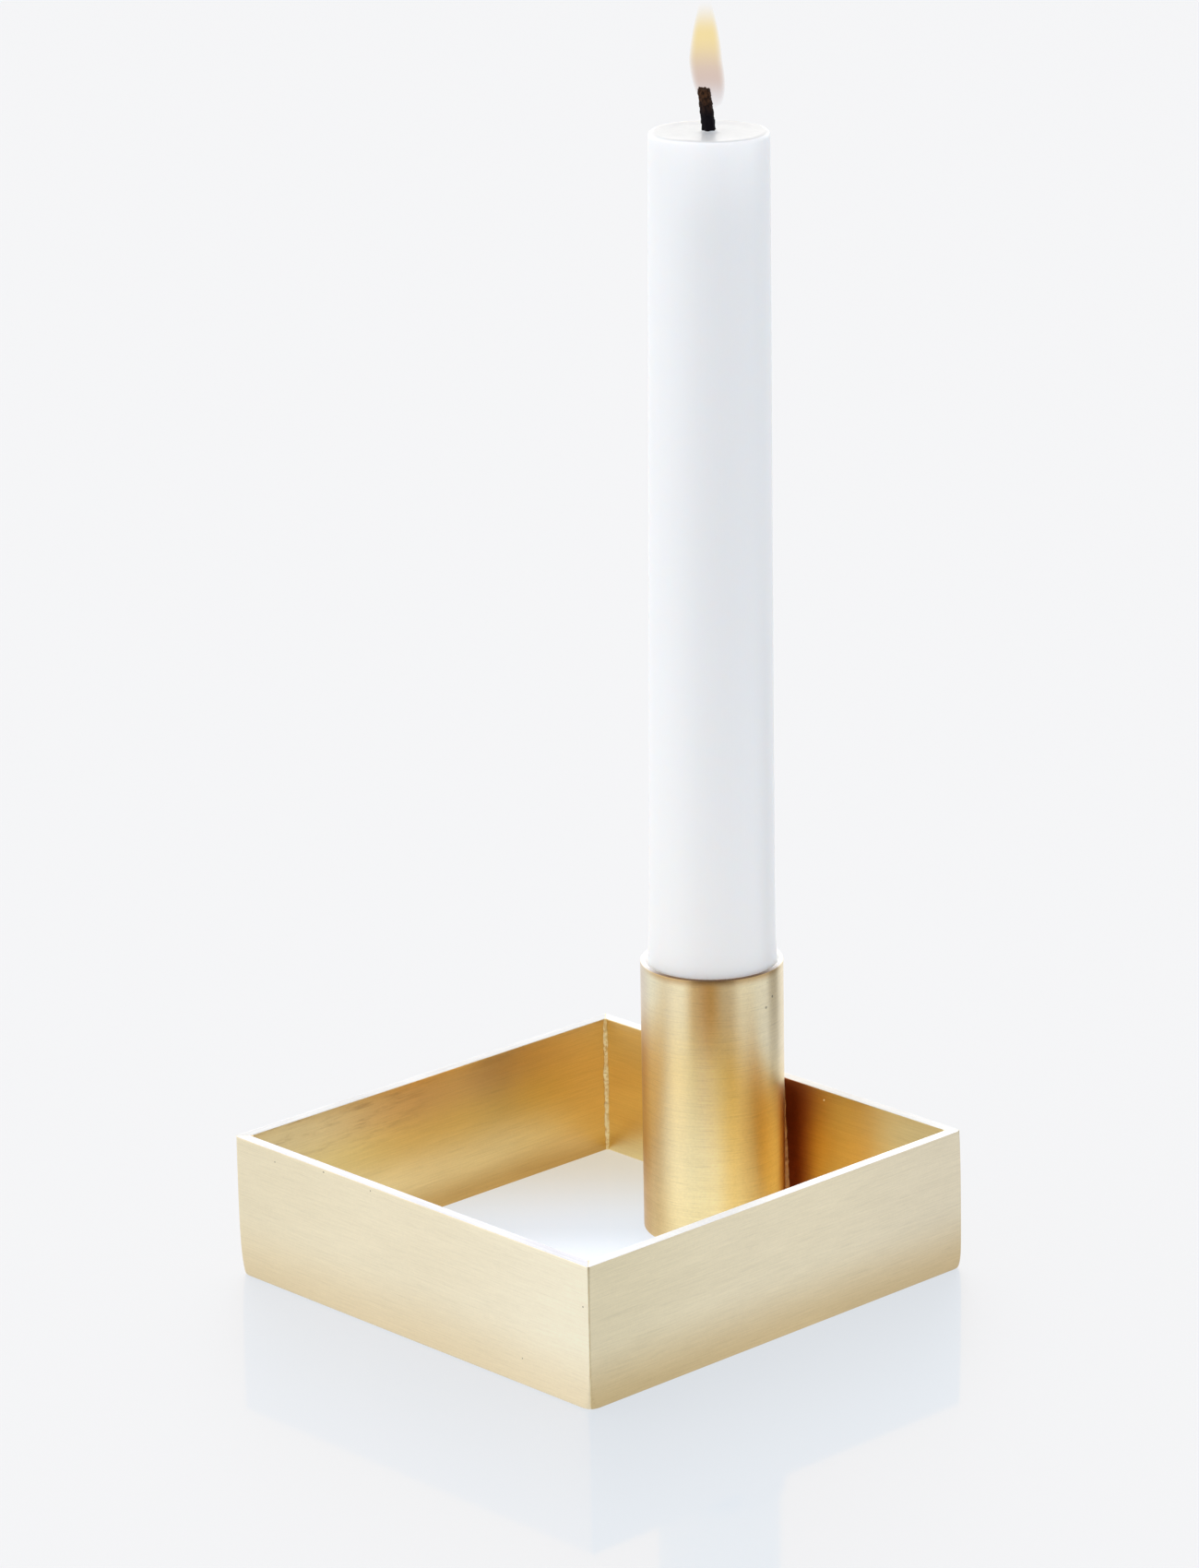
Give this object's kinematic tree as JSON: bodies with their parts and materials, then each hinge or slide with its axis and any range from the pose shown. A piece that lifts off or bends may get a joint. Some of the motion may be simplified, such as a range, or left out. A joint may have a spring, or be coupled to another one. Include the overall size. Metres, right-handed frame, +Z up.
{
  "type": "candlestick",
  "caption": "Low square frame of brushed brass bars with a candle tube brazed inside one wall; a white tapered candle stands in the tube and lifts out.",
  "frame": {"origin": "centre of the frame's footprint, on the table it stands on", "axes": "+Z up, -Y out of the front wall, +Y out of the rear wall that the candle tube is brazed to, +X out of the right wall"},
  "size_m": [0.085, 0.085, 0.1947],
  "materials": {
    "brushed_brass": "satin, brushed along each bar by hand, rounded a little at the corners",
    "tube_brass": "satin, brushed around the tube",
    "filler_metal": "uneven as-melted bead, pale gold",
    "white_wax": "white stearin wax, satin and slightly translucent; matte_plastic stands in for wax",
    "charred_cotton": "charred black braided cotton"
  },
  "bodies": {
    "holder": {"front_wall": "brushed_brass", "right_wall": "brushed_brass", "rear_wall": "brushed_brass", "left_wall": "brushed_brass", "braze_front_right": "filler_metal", "braze_rear_right": "filler_metal", "braze_rear_left": "filler_metal", "braze_front_left": "filler_metal", "tube_braze": "filler_metal", "candle_tube": "tube_brass", "socket_floor": "tube_brass"},
    "candle": {"candle_wax": "white_wax", "wick": "charred_cotton"}
  },
  "joints": [
    {"name": "candle_lift", "type": "slide", "parent": "holder", "child": "candle", "axis": [0.0053, 0.0056, 1], "range_m": [0, 0.055]}
  ]
}
